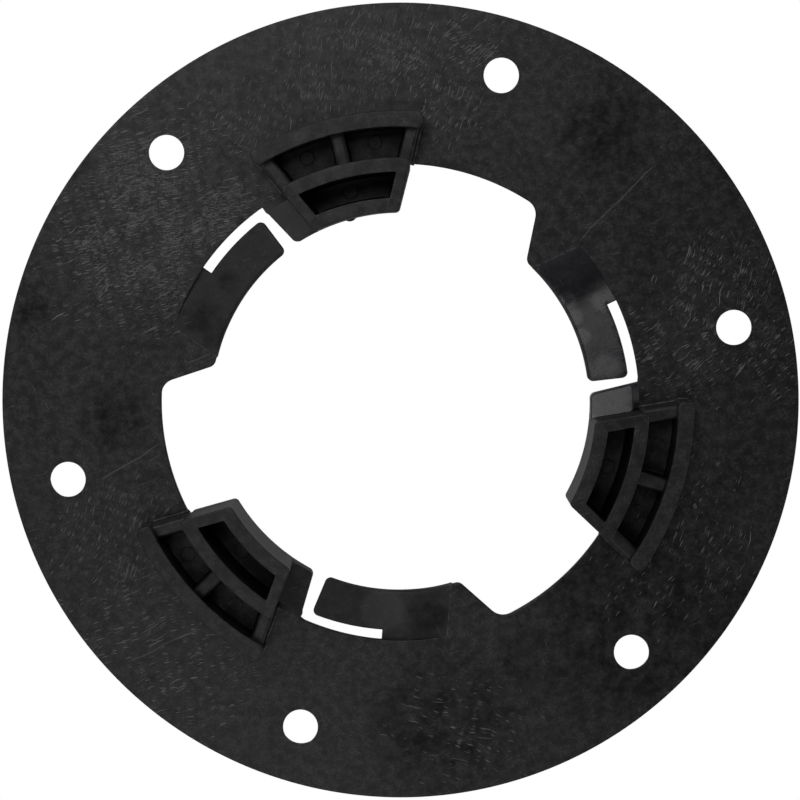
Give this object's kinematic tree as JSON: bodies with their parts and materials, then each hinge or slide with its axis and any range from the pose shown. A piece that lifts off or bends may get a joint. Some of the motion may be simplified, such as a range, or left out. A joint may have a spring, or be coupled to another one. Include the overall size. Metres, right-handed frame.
{
  "type": "clutch plate",
  "caption": "Round moulded plate with raised drive boxes, locating walls and spring fingers around an open centre, screwed to a floor machine's brush block.",
  "frame": {"origin": "centre of the plate on its flat machine-side face", "axes": "+Z out of the plate towards the brush block, the side the bosses stand on; +X through the gap region of station 1, so that its boss axis lies 16.9 degrees clockwise of +X"},
  "size_m": [0.1778, 0.1778, 0.02],
  "materials": {
    "black_plastic": "black moulded plastic, satin, finely scuffed from handling",
    "boss_plastic": "black moulded plastic, satin, with lighter scuffed rims",
    "rubbed_plastic": "black moulded plastic, a little smoother where the hub's lugs slide"
  },
  "bodies": {
    "moulding": {"flange_ring": "black_plastic", "drive_box_1": "boss_plastic", "locating_wall_1": "boss_plastic", "web_ribs_1": "boss_plastic", "stop_ramp_1": "rubbed_plastic", "lead_in_ramp_1": "rubbed_plastic", "drive_box_2": "boss_plastic", "locating_wall_2": "boss_plastic", "web_ribs_2": "boss_plastic", "stop_ramp_2": "rubbed_plastic", "lead_in_ramp_2": "rubbed_plastic", "drive_box_3": "boss_plastic", "locating_wall_3": "boss_plastic", "web_ribs_3": "boss_plastic", "stop_ramp_3": "rubbed_plastic", "lead_in_ramp_3": "rubbed_plastic"},
    "finger_1": {"spring_finger_1": "rubbed_plastic"},
    "finger_2": {"spring_finger_2": "rubbed_plastic"},
    "finger_3": {"spring_finger_3": "rubbed_plastic"}
  },
  "joints": [
    {"name": "finger_bend_1", "type": "hinge", "parent": "moulding", "child": "finger_1", "pos_m": [0.04215, 0.0201, 0.00141], "axis": [0.9026, 0.4305, 0], "range_deg": [0, 5.5], "stiffness_Nm_per_rad": 0.015},
    {"name": "finger_bend_2", "type": "hinge", "parent": "moulding", "child": "finger_2", "pos_m": [-0.03849, 0.02645, 0.00141], "axis": [-0.8241, 0.5664, 0], "range_deg": [0, 5.5], "stiffness_Nm_per_rad": 0.015},
    {"name": "finger_bend_3", "type": "hinge", "parent": "moulding", "child": "finger_3", "pos_m": [-0.00366, -0.04656, 0.00141], "axis": [-0.0785, -0.9969, 0], "range_deg": [0, 5.5], "stiffness_Nm_per_rad": 0.015}
  ]
}
